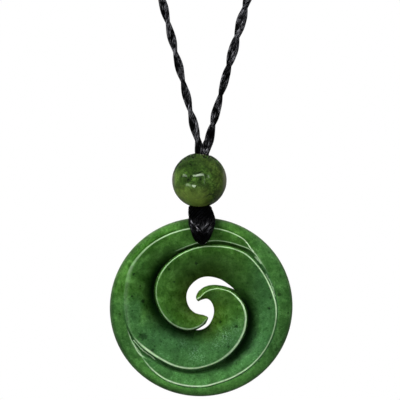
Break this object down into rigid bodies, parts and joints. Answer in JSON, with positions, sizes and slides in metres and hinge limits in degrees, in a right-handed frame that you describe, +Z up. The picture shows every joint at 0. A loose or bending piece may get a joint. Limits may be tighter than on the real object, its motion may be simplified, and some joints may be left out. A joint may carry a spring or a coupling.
{
  "type": "koru pendant necklace",
  "caption": "Round carved green stone pendant with a pierced double spiral, bound by a cord lashing under a stone bead on a twisted neck cord loop.",
  "frame": {"origin": "at the nape, on the face of the cord that lies against the back of the neck", "axes": "+Z up, +X to the right in the front view, the carved front of the pendant faces -Y and hangs below and in front of the origin"},
  "size_m": [0.1161, 0.1161, 0.3127],
  "materials": {
    "disc_stone": "polished translucent green jade",
    "bead_stone": "polished mottled olive green jade",
    "cord": "waxed black twisted cord"
  },
  "bodies": {
    "root": {"koru_disc": "disc_stone", "bead": "bead_stone", "lashing": "cord", "neck_cord": "cord"}
  },
  "joints": []
}
